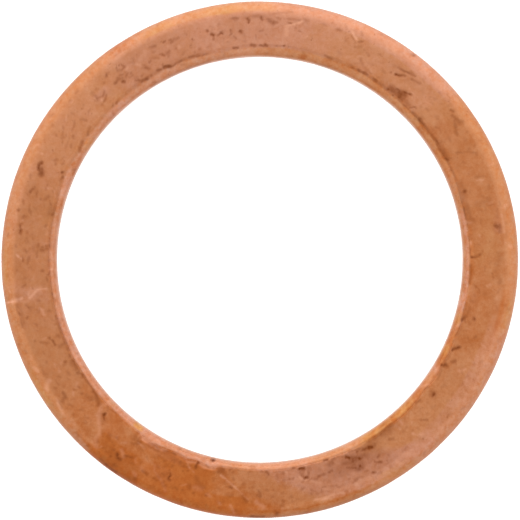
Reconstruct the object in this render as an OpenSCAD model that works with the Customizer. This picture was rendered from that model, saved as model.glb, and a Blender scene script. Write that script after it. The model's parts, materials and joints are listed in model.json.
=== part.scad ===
// Exhaust manifold gasket: a round copper ring, folded from one strip of sheet and pressed flat.
// It lies on its lower face, with the axis of the hole along Z and the origin in the middle of
// that face. The fold closes in a circular seam on the upper face. Between the seam and the hole
// the rolled lip lies a little lower than the flat sealing band. Sizes are in millimetres.

/* [Ring] */
// Diameter across the outside
outside_d = 38; // [36:0.1:80]
// Diameter of the hole that the exhaust gas passes through
bore_d = 29.9; // [16:0.1:32]
// Overall thickness before the gasket is crushed
thickness = 3; // [2:0.05:8]

/* [Outside edge] */
// Radius that rounds the outside, above and below
rim_round_r = 1.05; // [0.2:0.05:1.4]

/* [Folded lip] */
// Radius of the roll that turns the sheet into the hole, below
roll_r = 0.9; // [0.2:0.05:1.4]
// Radius of the same roll above, where the lip was pressed down
lip_round_r = 0.65; // [0.2:0.05:1.4]
// Width of the lip, from the hole to the seam
lip_w = 0.56; // [0.2:0.01:1.5]
// How far the lip lies below the sealing band
lip_drop = 0.12; // [0.04:0.01:0.4]
// Radius that softens the sheet's cut edge at the seam
seam_edge_r = 0.1; // [0.02:0.01:0.4]

/* [Hidden] */

bore_r = bore_d / 2;
rim_r = outside_d / 2;
seam_r = bore_r + lip_w;
lip_z = thickness - lip_drop;

// The roundings stay smaller than the walls that they end on
least_wall = 0.1;
rim_round = min(rim_round_r, (thickness - least_wall) / 2);
roll = min(roll_r, (lip_z - least_wall) / 2);
lip_round = min(lip_round_r, (lip_z - least_wall) / 2);
seam_edge = min(seam_edge_r, lip_drop);

// How far a cut runs past the metal
past = 1;

section_fn = 96;
ring_fn = 360;

// The waste outside a rounding of radius r about its own centre. The quarters are counted
// from outwards and up, through inwards and up, to outwards and down.
module corner_waste(quarter, r) {
    rotate(90 * quarter)
        difference() {
            square(r + past);
            circle(r, $fn = section_fn);
        }
}

// The room above the rolled lip, which ends at the seam
module lip_waste() {
    intersection() {
        translate([bore_r - past, 0])
            square([lip_w + past, thickness + past]);
        union() {
            translate([bore_r - past, lip_z])
                square([lip_w + 2 * past, lip_drop + past]);
            translate([bore_r + lip_round, lip_z - lip_round])
                corner_waste(1, lip_round);
        }
    }
}

// Half of the ring's cross-section: X is the distance from the axis and Y is the height
module ring_section() {
    difference() {
        translate([bore_r, 0])
            square([rim_r - bore_r, thickness]);
        translate([rim_r - rim_round, thickness - rim_round])
            corner_waste(0, rim_round);
        translate([rim_r - rim_round, rim_round])
            corner_waste(3, rim_round);
        translate([bore_r + roll, roll])
            corner_waste(2, roll);
        translate([seam_r + seam_edge, thickness - seam_edge])
            corner_waste(1, seam_edge);
        lip_waste();
    }
}

module gasket_ring() {
    color("#BE7850")
        rotate_extrude($fn = ring_fn)
            ring_section();
}

gasket_ring();
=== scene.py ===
"""A folded copper exhaust gasket: its detailed ring, its finish and a small studio."""

import json
import math
from functools import partial

import bmesh
import bpy
import numpy as np
from bpy.props import FloatProperty, FloatVectorProperty, IntProperty, PointerProperty
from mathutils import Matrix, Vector
from mathutils import noise as value_noise


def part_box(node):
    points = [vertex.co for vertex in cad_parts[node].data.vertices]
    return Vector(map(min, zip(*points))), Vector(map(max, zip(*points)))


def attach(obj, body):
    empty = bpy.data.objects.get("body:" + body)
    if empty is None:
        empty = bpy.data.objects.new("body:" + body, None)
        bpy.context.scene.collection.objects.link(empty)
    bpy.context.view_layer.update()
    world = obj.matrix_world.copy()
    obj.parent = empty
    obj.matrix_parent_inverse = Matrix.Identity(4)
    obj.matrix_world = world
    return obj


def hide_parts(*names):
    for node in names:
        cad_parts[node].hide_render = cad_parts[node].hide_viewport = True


bl_info = {
    "name": "Copper exhaust gasket",
    "version": (1, 0, 0),
    "blender": (4, 5, 0),
    "location": "3D View > Sidebar > Gasket",
    "description": "Models a folded copper gasket ring with its finish, lights and camera",
    "category": "Add Mesh",
}

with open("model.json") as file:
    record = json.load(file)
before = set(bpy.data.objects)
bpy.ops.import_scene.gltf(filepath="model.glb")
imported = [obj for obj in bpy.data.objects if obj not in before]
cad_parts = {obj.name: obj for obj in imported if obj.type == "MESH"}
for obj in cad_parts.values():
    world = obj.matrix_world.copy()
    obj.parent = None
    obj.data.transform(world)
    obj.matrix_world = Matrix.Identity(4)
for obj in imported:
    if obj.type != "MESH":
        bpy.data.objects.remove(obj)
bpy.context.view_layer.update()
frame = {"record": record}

NODE = "gasket_ring"
MM = 0.001
TURN = 2 * math.pi

# The ring's own sizes come from the frame: its box, and the mount that is its hole
LOW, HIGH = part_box(NODE)
RIM_R = HIGH[0]
THICKNESS = HIGH[2] - LOW[2]
BORE_R = MM * next(m["dims"]["r_mm"] for m in frame["record"]["mounts"] if m["name"] == "bore")


def linear(hex_colour):
    """An sRGB hex colour as linear red, green, blue and alpha."""
    parts = [int(hex_colour[i:i + 2], 16) / 255 for i in (1, 3, 5)]
    return [c / 12.92 if c <= 0.04045 else ((c + 0.055) / 1.055) ** 2.4 for c in parts] + [1.0]


class RingSizes(bpy.types.PropertyGroup):
    rim_round: FloatProperty(
        name="Outside rounding", description="Radius that rounds the outside, above and below",
        default=1.05 * MM, min=0.1 * MM, max=1.4 * MM, unit="LENGTH", precision=5)
    roll: FloatProperty(
        name="Lower roll", description="Radius of the roll that turns the sheet into the hole, below",
        default=0.9 * MM, min=0.2 * MM, max=1.4 * MM, unit="LENGTH", precision=5)
    lip_round: FloatProperty(
        name="Lip rounding", description="Radius of the same roll above, where the lip was pressed down",
        default=0.65 * MM, min=0.2 * MM, max=1.4 * MM, unit="LENGTH", precision=5)
    lip_width: FloatProperty(
        name="Lip width", description="Width of the lip, from the hole to the seam",
        default=0.56 * MM, min=0.2 * MM, max=0.85 * MM, unit="LENGTH", precision=5)
    lip_drop: FloatProperty(
        name="Lip drop", description="How far the lip lies below the sealing band",
        default=0.12 * MM, min=0.04 * MM, max=0.4 * MM, unit="LENGTH", precision=5)
    seam_edge: FloatProperty(
        name="Seam edge", description="Radius that softens the sheet's cut edge at the seam",
        default=0.1 * MM, min=0.02 * MM, max=0.4 * MM, unit="LENGTH", precision=5)
    shoulder_drop: FloatProperty(
        name="Shoulder drop", description="How far the band has fallen where the outside rounding starts",
        default=0.025 * MM, min=0, max=0.1 * MM, unit="LENGTH", precision=5)
    pit_depth: FloatProperty(
        name="Pit depth", description="Depth of the dents and pits in the sheet",
        default=0.04 * MM, min=0, max=0.2 * MM, unit="LENGTH", precision=5)
    unevenness: FloatProperty(
        name="Unevenness", description="How far the pressed sheet is from level",
        default=0.03 * MM, min=0, max=0.2 * MM, unit="LENGTH", precision=5)
    steps: IntProperty(
        name="Steps", description="Steps that the section takes round the axis",
        default=1080, min=90, max=1080)


class CopperFinish(bpy.types.PropertyGroup):
    copper: FloatVectorProperty(
        name="Copper", description="The annealed sheet", subtype="COLOR", size=4,
        min=0, max=1, default=linear("#BF7E54"))
    # The rosy colour also paints the highlight over the top of the band and the rounding
    rosy: FloatVectorProperty(
        name="Rosy copper", description="Pinker sheet, rubbed clean", subtype="COLOR",
        size=4, min=0, max=1, default=linear("#C58769"))
    golden: FloatVectorProperty(
        name="Golden copper", description="Sheet under a thin straw-coloured film", subtype="COLOR",
        size=4, min=0, max=1, default=linear("#C58A50"))
    tarnish: FloatVectorProperty(
        name="Tarnish", description="The orange-brown film of a handled area", subtype="COLOR",
        size=4, min=0, max=1, default=linear("#B36430"))
    # The grime colour also paints the shade along the seam's crease and on the darker side of the band
    grime_and_shade: FloatVectorProperty(
        name="Grime", description="Dark oxide and dirt in pits and along the seam", subtype="COLOR",
        size=4, min=0, max=1, default=linear("#7B3E1C"))
    bright: FloatVectorProperty(
        name="Scratch", description="Bare metal in a fresh scratch", subtype="COLOR",
        size=4, min=0, max=1, default=linear("#E2A484"))
    roughness: FloatProperty(
        name="Roughness", description="Roughness of the sheet between its marks",
        default=0.38, min=0, max=1, subtype="FACTOR")


class StageSettings(bpy.types.PropertyGroup):
    camera_aside: FloatVectorProperty(
        name="Camera aside", description="How far the camera stands from the ring's axis", size=2,
        default=(0.013 * MM, -0.02 * MM), unit="LENGTH", precision=5)
    camera_distance: FloatProperty(
        name="Camera distance", description="From the camera to the widest part of the ring",
        default=0.33, min=0.1, max=2, unit="LENGTH")
    view_width: FloatProperty(
        name="View width", description="Width of the picture at the ring",
        default=38.235 * MM, min=20 * MM, max=200 * MM, unit="LENGTH", precision=4)
    overhead: FloatProperty(
        name="Overhead", description="Brightness of the tent straight above, where the camera looks in",
        default=0.84, min=0, max=5)
    opening: FloatProperty(
        name="Opening", description="How far from straight above the tent reaches its full brightness",
        default=math.radians(24), min=0.02, max=1.5, subtype="ANGLE")
    walls: FloatProperty(
        name="Walls", description="What the full brightness adds to the overhead one",
        default=0.42, min=0, max=5)
    window: FloatProperty(
        name="Window side", description="What the bright side of the tent adds and the far side lacks",
        default=0.3, min=0, max=5)
    window_strip: FloatProperty(
        name="Window", description="What the window itself adds, low on the bright side",
        default=0.18, min=0, max=5)
    below: FloatProperty(
        name="Below", description="How much darker the tent is below the table",
        default=0.06, min=0, max=1)
    table_glow: FloatProperty(
        name="Table light", description="Light from under the white table",
        default=0.6, min=0, max=5)


# Section of the ring, in the plane of X and Z

ARC_STEPS = 14
LOWER_ARC_STEPS = 8
SMALL_ARC_STEPS = 3
BAND_STEP = 0.08 * MM
WALL_STEP = 0.3 * MM
TINY = 0.002 * MM


def pick(piece, kind, test):
    """Selects in edit mode the vertices or edges whose points all pass the test."""
    bpy.ops.mesh.select_mode(type=kind)
    bpy.ops.mesh.select_all(action="DESELECT")
    mesh = bmesh.from_edit_mesh(piece.data)
    for part in mesh.verts if kind == "VERT" else mesh.edges:
        points = (part,) if kind == "VERT" else part.verts
        part.select = all(test(point.co) for point in points)
    mesh.select_flush_mode()
    bmesh.update_edit_mesh(piece.data)


def round_corners(piece, test, radius, steps):
    pick(piece, "VERT", test)
    bpy.ops.mesh.bevel(offset=radius, segments=steps, affect="VERTICES", profile=0.5)


def split_edge(piece, start, end, step):
    """Cuts the straight edge between two points of the outline into pieces of about one step."""
    middle = [(a + b) / 2 for a, b in zip(start, end)]
    reach = math.dist(start, end) / 2 + TINY
    run, rise = end[0] - start[0], end[1] - start[1]
    pick(piece, "EDGE", lambda p: math.dist((p.x, p.z), middle) < reach
         and abs((p.x - start[0]) * rise - (p.z - start[1]) * run) < TINY * reach)
    cuts = max(round(2 * reach / step) - 1, 1)
    bpy.ops.mesh.subdivide(number_cuts=cuts)


def section_outline(sizes):
    """The closed outline of the ring's section, as edges with no face, left active in edit mode."""
    lip_z = THICKNESS - sizes.lip_drop
    seam_x = BORE_R + sizes.lip_width
    bpy.ops.object.select_all(action="DESELECT")
    bpy.ops.mesh.primitive_plane_add(
        size=1, location=((BORE_R + RIM_R) / 2, 0, lip_z / 2), rotation=(math.pi / 2, 0, 0))
    piece = bpy.context.object
    piece.name = piece.data.name = "copper_ring"
    piece.scale = (RIM_R - BORE_R, lip_z, 1)
    bpy.ops.object.transform_apply(location=True, rotation=True, scale=True)

    bpy.ops.object.mode_set(mode="EDIT")
    # The roll round the hole, below and above
    round_corners(piece, lambda p: p.x < BORE_R + TINY and p.z < TINY, sizes.roll, LOWER_ARC_STEPS)
    round_corners(piece, lambda p: p.x < BORE_R + TINY and p.z > lip_z - TINY, sizes.lip_round, ARC_STEPS)
    # The flap stands up from the seam outwards and ends level
    bpy.ops.mesh.select_all(action="SELECT")
    bpy.ops.mesh.bisect(plane_co=(seam_x, 0, 0), plane_no=(1, 0, 0), threshold=TINY)
    pick(piece, "EDGE", lambda p: p.x > seam_x - TINY and p.z > THICKNESS / 2)
    bpy.ops.mesh.extrude_region_move(TRANSFORM_OT_translate={"value": (0, 0, sizes.lip_drop)})
    bpy.ops.transform.resize(value=(1, 1, 0), center_override=(0, 0, THICKNESS))
    # One face, without the points that the cuts left on its straight sides
    bpy.ops.mesh.select_mode(type="FACE")
    bpy.ops.mesh.select_all(action="SELECT")
    bpy.ops.mesh.dissolve_faces()
    pick(piece, "VERT", lambda p: abs(p.z - THICKNESS) < TINY and seam_x + TINY < p.x < RIM_R - TINY
         or abs(p.z - lip_z) < TINY and p.x > RIM_R - TINY
         or abs(p.x - seam_x) < TINY and p.z < THICKNESS / 2)
    bpy.ops.mesh.dissolve_verts()
    round_corners(piece, lambda p: p.x > RIM_R - TINY and p.z < TINY, sizes.rim_round, LOWER_ARC_STEPS)
    round_corners(piece, lambda p: p.x > RIM_R - TINY and p.z > THICKNESS - TINY,
                  sizes.rim_round, ARC_STEPS)
    round_corners(piece, lambda p: abs(p.x - seam_x) < TINY and abs(p.z - THICKNESS) < TINY,
                  sizes.seam_edge, SMALL_ARC_STEPS)
    # Points along the flat stretches, close together on the sealing band
    rim_x = RIM_R - sizes.rim_round
    split_edge(piece, (seam_x + sizes.seam_edge, THICKNESS), (rim_x, THICKNESS), BAND_STEP)
    split_edge(piece, (BORE_R + sizes.roll, 0), (rim_x, 0), WALL_STEP)
    split_edge(piece, (RIM_R, sizes.rim_round), (RIM_R, THICKNESS - sizes.rim_round), WALL_STEP)
    split_edge(piece, (BORE_R, sizes.roll), (BORE_R, lip_z - sizes.lip_round), WALL_STEP)
    bpy.ops.mesh.select_mode(type="FACE")
    bpy.ops.mesh.select_all(action="SELECT")
    bpy.ops.mesh.delete(type="ONLY_FACE")
    return piece


def turn_section(piece, steps):
    """Turns the outline once round the axis and closes it."""
    bpy.ops.object.mode_set(mode="OBJECT")
    turn = piece.modifiers.new("turn", "SCREW")
    turn.axis = "Z"
    turn.angle = TURN
    turn.steps = turn.render_steps = steps
    turn.use_merge_vertices = True
    turn.merge_threshold = TINY / 2
    bpy.ops.object.modifier_apply(modifier=turn.name)
    bpy.ops.object.mode_set(mode="EDIT")
    bpy.ops.mesh.select_all(action="SELECT")
    bpy.ops.mesh.normals_make_consistent(inside=False)
    bpy.ops.object.mode_set(mode="OBJECT")


# Marks of use, with some painted shade and highlight among them. Places are polar: degrees from +X
# towards +Y, then millimetres from the axis.
# A mark is a soft stroke or dot: its strength, its width, then the angle and radius of each point.

# Dark dirt, oxide and pits, and painted shade: the strokes along the seam, at about 15.5 to 15.8 mm,
# darken the crease where the step's shade falls, together with the dirt caught in it
DIRT_AND_SHADE = (
    # Right hand side, from the +X axis upwards
    (0.65, 0.36, 8.3, 17.45, 7.8, 17.58), (0.5, 0.24, 8.2, 17.74, 6.7, 17.7),
    (0.25, 0.6, 8.2, 17.5, 7.4, 17.6), (0.75, 0.26, 18.5, 15.93),
    (0.75, 0.18, 1.3, 16.12, 0.8, 16.02, 0.7, 15.8, 0.7, 15.6), (0.45, 0.12, 3.1, 15.58, 1.6, 15.53),
    (0.4, 0.24, 14.2, 15.52, 11.2, 15.55), (0.4, 0.16, 12.9, 15.75, 12, 15.7),
    (0.22, 0.45, 14.5, 15.72, 11.5, 15.7, 9.5, 15.62), (0.35, 0.16, 11.2, 15.5, 10.8, 15.95, 9.9, 16),
    (0.3, 0.2, 6.7, 15.68, 5.6, 15.7), (0.35, 0.12, 6.2, 15.5, 5.2, 15.5),
    (0.35, 0.1, 4.6, 16.93, 4, 16.85), (0.3, 0.1, 10.2, 16.48, 9.3, 16.42),
    (0.2, 0.4, 14.8, 17.4, 14.4, 17, 14.5, 16.4), (0.25, 0.1, 14.8, 17.45, 14.7, 17.2),
    (0.25, 0.18, 18, 17.68, 17.2, 17.58), (0.38, 0.13, 26.2, 17.75, 27.3, 17.2, 28.6, 16.4),
    (0.3, 0.16, 26.6, 17.6, 25.8, 17.7), (0.65, 0.2, 28.7, 15.54, 28, 15.57),
    (0.4, 0.36, 32, 15.56, 28.6, 15.58), (0.3, 0.14, 28, 15.55, 25, 15.55),
    (0.6, 0.14, 25.1, 15.5), (0.25, 0.2, 25, 15.55, 22, 15.58), (0.3, 0.12, 22.9, 15.6, 22, 15.6),
    (0.2, 0.6, 21, 15.7, 16, 15.6), (0.25, 0.12, 28.2, 17.95, 27.8, 17.8), (0.3, 0.16, 31.6, 17.85),
    (0.35, 0.08, 13.8, 18.08, 12.6, 18), (0.25, 0.2, 12, 17.78, 10, 17.72),
    (0.3, 0.14, 20.5, 17.5, 20.9, 16.98), (0.25, 0.14, 13.2, 17.6, 13.6, 16.6),
    (0.25, 0.12, 22.2, 16.57), (0.22, 0.3, 0, 17.35, -0.5, 17.5), (0.25, 0.12, 1.6, 17.4),
    (0.3, 0.1, 4, 16.12), (0.25, 0.1, 8.2, 16, 7.8, 15.7), (0.3, 0.1, 3.3, 15.35),
    # The broad smudge at the seam and the slanting strokes above it
    (0.75, 0.18, 47.5, 16.4, 48.6, 16.28, 50, 16.12, 51.3, 16.05),
    (0.65, 0.45, 48.6, 16.15, 50.2, 16.02, 49.5, 15.8), (0.9, 0.18, 49.5, 15.73),
    (0.6, 0.2, 48.3, 16.25, 48.1, 15.98), (0.8, 0.2, 53, 15.65), (0.65, 0.16, 51, 15.56),
    (0.5, 0.55, 52.3, 15.82, 48.6, 15.85), (0.35, 0.1, 47.5, 16.42, 46, 16.48),
    (0.28, 0.4, 47.4, 15.85, 46.3, 15.75), (0.55, 0.18, 55, 16.75), (0.85, 0.18, 53.7, 16.84, 53, 16.92),
    (0.7, 0.18, 53.4, 16.87, 52.6, 17, 51.8, 17.15),
    (0.5, 0.14, 54.3, 17.34, 52.5, 17.42, 51.2, 17.52, 49.7, 17.63), (0.3, 0.08, 51.4, 17.75, 50, 17.65),
    (0.35, 0.18, 49.8, 17.3, 48.5, 17.4, 47.7, 17.45), (0.25, 0.1, 47.8, 17.83, 47.2, 17.72),
    (0.55, 0.2, 38, 17.78, 37.5, 17.84), (0.42, 0.28, 36.8, 17.62, 35.2, 17.7, 34.2, 17.75),
    (0.4, 0.22, 35.6, 17.55, 34.4, 17.35, 33, 17.15, 32.3, 17.12),
    (0.35, 0.1, 36.5, 17.5, 35, 17.58, 34.2, 17.66), (0.3, 0.1, 34.4, 17.97, 33.7, 17.97),
    (0.35, 0.1, 43, 17.98, 41.8, 17.98), (0.3, 0.1, 41.5, 18.4, 40.5, 18.25),
    (0.3, 0.09, 40.3, 18.2, 40, 18.05), (0.5, 0.25, 53, 18.8),
    (0.55, 0.1, 45.3, 15.68, 44.6, 15.98, 44.2, 15.96), (0.45, 0.14, 47.2, 15.56, 46.5, 15.57),
    (0.4, 0.12, 45.5, 15.55), (0.4, 0.24, 44, 15.56, 38, 15.58), (0.65, 0.24, 41.3, 15.57, 39.2, 15.56),
    (0.3, 0.22, 38, 15.56, 36, 15.6), (0.5, 0.22, 35.9, 15.6, 34.5, 15.62, 33, 15.7),
    (0.42, 0.34, 33.5, 15.66, 32, 15.61, 30.6, 15.56), (0.45, 0.12, 33.2, 15.98, 33, 15.75),
    (0.28, 0.2, 32.8, 15.8, 31, 15.75, 29, 15.75), (0.3, 0.12, 36.9, 16.15, 36.2, 16.3),
    (0.3, 0.1, 28.5, 16.55, 28.2, 16.4), (0.25, 0.08, 43.8, 17.25, 43, 17.45),
    (0.25, 0.06, 43.7, 16.6, 43.3, 16.7), (0.65, 0.18, 62.7, 15.62, 59.8, 15.62),
    (0.7, 0.2, 58, 15.63, 56.9, 15.63), (0.3, 0.2, 59.8, 15.62, 53.5, 15.62),
    (0.25, 0.16, 62, 16.1, 60.5, 16, 59, 15.85), (0.3, 0.14, 57, 15.95),
    # Top right
    (0.65, 0.2, 86.7, 17.45), (0.5, 0.36, 87.7, 17.5, 86.8, 17.37),
    (0.45, 0.14, 86.2, 17.45, 85.7, 17.4), (0.6, 0.2, 89.7, 17.75, 89.4, 17.58),
    (0.45, 0.14, 89.2, 17.65, 87.5, 17.65), (0.4, 0.1, 89.9, 17.4), (0.35, 0.16, 86, 17.8, 85.2, 17.72),
    (0.25, 0.25, 91.5, 17.85, 89, 17.8), (0.65, 0.14, 83.2, 17.5, 82.4, 17.48),
    (0.3, 0.15, 84.2, 17.75, 82.2, 17.78, 80.5, 17.8), (0.3, 0.07, 83.5, 18.32, 82.5, 18.34),
    # The stroke from 86.8 to 82.5 degrees at about 18.1 to 18.3 mm paints the shade where the rounding
    # starts
    (0.25, 0.16, 86.8, 18.05, 85.5, 18.15, 84, 18.2, 82.5, 18.3), (0.5, 0.1, 80.2, 17.02, 79.8, 16.98),
    (0.3, 0.08, 81.2, 17.2), (0.28, 0.28, 79.4, 17.92, 78.8, 17.82), (0.25, 0.13, 75, 17.9, 74, 17.82),
    (0.4, 0.1, 72.9, 18.18), (0.4, 0.16, 71.4, 17.83, 70.6, 17.8), (0.45, 0.1, 68.7, 17.97),
    (0.35, 0.08, 69.9, 18.35, 69.4, 18.1), (0.6, 0.17, 65.5, 17.55, 64.7, 17.68),
    (0.35, 0.1, 67.8, 17.75, 67, 17.58, 66.2, 17.4), (0.25, 0.2, 68.6, 17.25),
    (0.25, 0.07, 69.4, 17.85, 69, 17.45), (0.3, 0.1, 66, 18.3, 65.4, 18.1),
    (0.4, 0.08, 64.5, 15.58, 62.7, 15.6), (0.28, 0.2, 62.8, 16.25, 61.8, 16.1, 60.5, 15.95),
    (0.35, 0.2, 63.4, 16.5, 63, 16.32), (0.38, 0.14, 72.3, 15.72, 71.3, 15.6, 70.2, 15.6),
    (0.12, 0.3, 72, 15.65, 68, 15.6), (0.6, 0.2, 91.4, 15.68),
    (0.5, 0.1, 90, 15.7, 89, 15.62, 88.2, 15.68), (0.6, 0.16, 88.6, 15.78, 88.1, 15.64),
    (0.5, 0.12, 85.6, 15.66, 84.6, 15.64), (0.7, 0.17, 83.5, 15.7), (0.3, 0.08, 82.5, 15.9, 82.3, 15.6),
    (0.35, 0.16, 90, 16.75, 89.4, 16.8), (0.25, 0.07, 88.5, 16.5, 87.8, 16.48),
    (0.28, 0.09, 91, 16.45, 90.8, 16), (0.2, 0.3, 69.2, 16.3, 68.6, 16.2),
    (0.25, 0.1, 75.2, 15.1, 74.2, 15.05), (0.25, 0.1, 74, 14.97, 66, 14.97),
    # Top: the dark dots
    (0.85, 0.2, 92.9, 17.7, 92.6, 17.52, 92.7, 17.4), (0.4, 0.1, 93.5, 17.75),
    (0.4, 0.14, 96.6, 17.82, 95.2, 17.77), (0.3, 0.16, 92.3, 17.88, 90.8, 17.85),
    (0.8, 0.22, 94.9, 16.78, 94.6, 16.68), (0.25, 0.2, 94.3, 16.6, 93.8, 16.3),
    (0.6, 0.16, 97.3, 16.95, 97.2, 16.7, 97.6, 16.62), (0.5, 0.16, 96.6, 16.5, 96.2, 16.35),
    (0.65, 0.16, 100.6, 16.72, 99.7, 16.85, 99.3, 16.78), (0.3, 0.12, 99.4, 16.4),
    (0.3, 0.1, 100.2, 17.15), (0.85, 0.18, 102.2, 16.86, 101.7, 16.8),
    (0.5, 0.14, 101.8, 16.65, 101.8, 16.5), (0.7, 0.22, 102.9, 17.2),
    (0.6, 0.15, 113.9, 17.41, 113.4, 17.46), (0.5, 0.09, 114.4, 17.55),
    (0.4, 0.22, 117.4, 17.55, 116.2, 17.43), (0.3, 0.2, 111.2, 17.33, 110.2, 17.33),
    (0.6, 0.16, 115.4, 16.63, 115, 16.53), (0.35, 0.1, 114.3, 16.55, 114, 16.33),
    (0.5, 0.15, 107.9, 16.5), (0.5, 0.1, 107.1, 16.93, 106.7, 16.81),
    (0.45, 0.24, 120.6, 16.38, 120.2, 16.18), (0.35, 0.16, 121.5, 16.48),
    (0.28, 0.13, 118.6, 16.83, 117.5, 16.68, 116.6, 16.53), (0.25, 0.09, 117.2, 16.08),
    (0.3, 0.1, 121, 17.53), (0.5, 0.2, 118.2, 15.76, 117.6, 15.68),
    (0.5, 0.24, 116.3, 15.77, 115.6, 15.69, 114.8, 15.57), (0.5, 0.1, 114.2, 15.55, 113.2, 15.58),
    (0.35, 0.14, 113.2, 15.61, 110.8, 15.65), (0.4, 0.16, 109.2, 15.68, 108, 15.65, 107, 15.68),
    (0.4, 0.1, 107.3, 15.58, 106.5, 15.56), (0.35, 0.12, 105.6, 15.55, 104.2, 15.56),
    (0.6, 0.13, 97, 15.63, 96, 15.58), (0.55, 0.24, 92.2, 15.72, 91.5, 15.66), (0.4, 0.15, 120.5, 15.66),
    (0.5, 0.15, 121.9, 15.58), (0.3, 0.1, 98.5, 16.15), (0.25, 0.1, 122, 14.98, 104, 14.97),
    (0.3, 0.15, 113.6, 18.78),
    # Top left
    (0.6, 0.22, 127.6, 16.48, 127.3, 16.4), (0.38, 0.15, 129.3, 16.72, 127.9, 16.8),
    (0.35, 0.12, 126.4, 16.6, 125.4, 16.72), (0.45, 0.14, 125.4, 17.5, 125, 17.3, 126, 17.2),
    (0.5, 0.12, 125.9, 17.58), (0.55, 0.08, 126.75, 17.58), (0.5, 0.08, 126.3, 17.75),
    (0.5, 0.17, 130, 17.52, 129.4, 17.68), (0.4, 0.15, 131.4, 17.22), (0.5, 0.13, 133.7, 17.35),
    (0.3, 0.09, 127.9, 18.1), (0.3, 0.09, 132, 18.03), (0.3, 0.09, 135.4, 18.02),
    (0.45, 0.13, 135.1, 16.78, 134.5, 16.7), (0.4, 0.17, 133.8, 16.62, 132.6, 16.8),
    (0.45, 0.11, 134.4, 16.28, 133.4, 16.4, 132.9, 16.5), (0.3, 0.15, 135.5, 16.25),
    (0.55, 0.14, 132.5, 15.55, 131.9, 15.6), (0.4, 0.15, 133.7, 15.6),
    (0.6, 0.11, 124.8, 15.98, 124.2, 15.9, 123.8, 15.8),
    (0.42, 0.2, 123.6, 15.66, 122.6, 15.64, 121.8, 15.67), (0.4, 0.18, 147, 16.25, 146.5, 16.42),
    (0.25, 0.15, 149.5, 16.45, 147.5, 16.55), (0.3, 0.12, 149.2, 16.12, 148.4, 16.22),
    (0.3, 0.09, 150, 16.75, 148.8, 16.9), (0.28, 0.13, 145.6, 16.7, 144.3, 16.75, 143.2, 16.98),
    (0.33, 0.2, 142, 16.68, 141.5, 16.55, 141.2, 16.35),
    (0.25, 0.15, 139.8, 16.45, 139, 16.6, 138.3, 16.62), (0.25, 0.12, 138.7, 17.22),
    (0.38, 0.26, 148.8, 15.5, 148, 15.6), (0.35, 0.3, 147.3, 15.6, 146.4, 15.66),
    (0.35, 0.15, 144, 15.58, 143.2, 15.72, 142.2, 15.82), (0.4, 0.09, 141.4, 18.68),
    (0.3, 0.09, 138.6, 18.05), (0.3, 0.1, 140.3, 18.15, 139.7, 18.1),
    # Left hand side
    (0.75, 0.24, 157.8, 17.5, 157.2, 17.6, 156.5, 17.6, 156.1, 17.5),
    (0.58, 0.42, 158.6, 17.2, 157.4, 17.32), (0.6, 0.2, 163.6, 17.53, 163, 17.45, 162.7, 17.42),
    (0.6, 0.2, 173.6, 17.68, 172.9, 17.66), (0.5, 0.13, 172.4, 17.72, 171.6, 17.75, 171.3, 17.6),
    (0.6, 0.17, 168.4, 18.07), (0.8, 0.22, 156.2, 15.82), (0.35, 0.24, 158.2, 15.78, 157.4, 15.65),
    (0.38, 0.22, 177.5, 15.96), (0.55, 0.13, 176.6, 15.97), (0.5, 0.15, 176.3, 15.75),
    (0.35, 0.18, 179.2, 16.35, 178.5, 16.35), (0.45, 0.1, 180.5, 17.35, 179.2, 17.36),
    (0.28, 0.2, 181, 17, 179.4, 16.92), (0.3, 0.14, 173.6, 17.2, 173.2, 17.15),
    (0.3, 0.12, 168.2, 17.25, 166.5, 17.33), (0.3, 0.08, 169.7, 17.6, 169.5, 17.35),
    (0.25, 0.07, 174.8, 16.72, 173.2, 16.78), (0.3, 0.09, 164.2, 17, 163.3, 17.1),
    (0.3, 0.25, 164.4, 16.35, 163.3, 16.15), (0.35, 0.1, 171.2, 15.98, 170.6, 15.88),
    (0.35, 0.1, 154.3, 16.1, 153.9, 16), (0.25, 0.1, 161.8, 15.98),
    (0.25, 0.1, 160.5, 17.85, 159.6, 17.95), (0.8, 0.15, 194.1, 17.6, 193.8, 17.52),
    (0.4, 0.15, 186.6, 17.5, 186.2, 17.3), (0.45, 0.12, 187.2, 16.78),
    (0.4, 0.15, 192.8, 18.08, 191.8, 18.18, 190.4, 18.1), (0.3, 0.15, 195.8, 18.1, 194, 18.1),
    (0.55, 0.17, 202.7, 16.25, 201.7, 16.28, 201.3, 16.3), (0.5, 0.18, 200.5, 16.45),
    (0.35, 0.09, 201, 16.95, 201.6, 16.6), (0.5, 0.2, 207.7, 16.12), (0.33, 0.22, 205.7, 17.33),
    (0.28, 0.2, 208, 17.9, 207, 17.85), (0.4, 0.16, 183, 16), (0.35, 0.1, 185.8, 15.75, 184.7, 15.8),
    (0.45, 0.09, 184.2, 15.8, 184, 15.6, 183.2, 15.5), (0.35, 0.12, 189.8, 15.55, 189.2, 15.52),
    (0.4, 0.12, 196.5, 15.65, 195.4, 15.57), (0.25, 0.1, 197.5, 15.8, 197.4, 15.52),
    # The strokes from 208 to 212 degrees near 15.7 mm paint the shadow in the crease beside the lip
    (0.3, 0.15, 201.5, 15.57), (0.42, 0.3, 210.8, 15.76, 208.4, 15.7), (0.5, 0.17, 211.8, 15.75),
    (0.3, 0.17, 207.3, 15.7, 206.5, 15.65), (0.28, 0.3, 203.5, 16, 203, 15.65),
    (0.2, 0.3, 205, 15.58, 196, 15.55), (0.4, 0.1, 199.4, 18.68), (0.3, 0.12, 199.9, 17.55),
    (0.3, 0.09, 192.5, 16.75), (0.25, 0.12, 195.8, 16.4),
    # Lower left, in and beside the tarnish
    (1, 0.2, 225, 16.16, 224.8, 16.12), (0.85, 0.17, 225.9, 16.38, 225.3, 16.25, 224.8, 16.1),
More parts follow.
